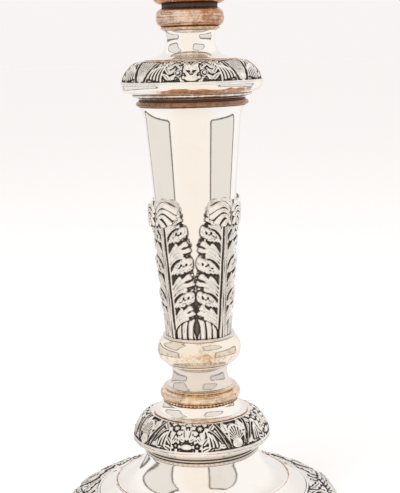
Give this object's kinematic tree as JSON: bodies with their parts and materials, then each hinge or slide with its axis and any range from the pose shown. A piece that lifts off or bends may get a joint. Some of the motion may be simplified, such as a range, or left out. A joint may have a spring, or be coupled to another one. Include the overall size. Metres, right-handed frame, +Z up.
{
  "type": "candlestick",
  "caption": "Table candlestick in worn silver plate: loaded round foot, tapering column in acanthus leaves, foliate borders, vase socket with lift-off nozzle.",
  "frame": {"origin": "centre of the baize underside, on the surface it stands on", "axes": "+Z up along the candlestick's own axis; one acanthus leaf is centred between +X and +Y"},
  "size_m": [0.145, 0.145, 0.3275],
  "materials": {
    "polished_silver": "soft old silver plate, burnished, fine scratches, thin spots warm with copper",
    "chased_silver": "stamped and chased silver plate, bright on the high points, dark oxide in the recesses",
    "worn_copper": "silver plate worn through to copper, brown in the corners",
    "iron": "plain black iron, dull",
    "pitch": "hard black pitch, slightly glossy where it was poured",
    "baize": "green wool baize, glued on"
  },
  "bodies": {
    "candlestick": {"foot_rim": "polished_silver", "base_shell": "polished_silver", "lower_rim": "polished_silver", "foot_cavetto": "polished_silver", "lower_flange": "polished_silver", "lower_spool": "polished_silver", "column_knop": "polished_silver", "column_foot_ring": "polished_silver", "column": "polished_silver", "shoulder_rim": "polished_silver", "neck_spool": "polished_silver", "neck_flange": "polished_silver", "socket_vase": "polished_silver", "socket_rim": "polished_silver", "base_border": "chased_silver", "lower_border": "chased_silver", "acanthus_leaf_1": "chased_silver", "acanthus_leaf_2": "chased_silver", "acanthus_leaf_3": "chased_silver", "acanthus_leaf_4": "chased_silver", "shoulder_border": "chased_silver", "step_band": "worn_copper", "bead_wire": "worn_copper", "lower_ring": "worn_copper", "column_cap": "worn_copper", "neck_ring": "worn_copper", "stem_collar": "worn_copper", "socket_liner": "worn_copper", "bottom_plate": "iron", "tie_rod": "iron", "rod_washer": "iron", "rod_nut": "iron", "pitch_filling": "pitch", "baize_pad": "baize"},
    "nozzle": {"nozzle_tube": "polished_silver", "nozzle_pan": "polished_silver", "nozzle_border": "chased_silver"}
  },
  "joints": [
    {"name": "nozzle_lift", "type": "slide", "parent": "candlestick", "child": "nozzle", "axis": [0, 0, 1], "range_m": [0, 0.04]}
  ]
}
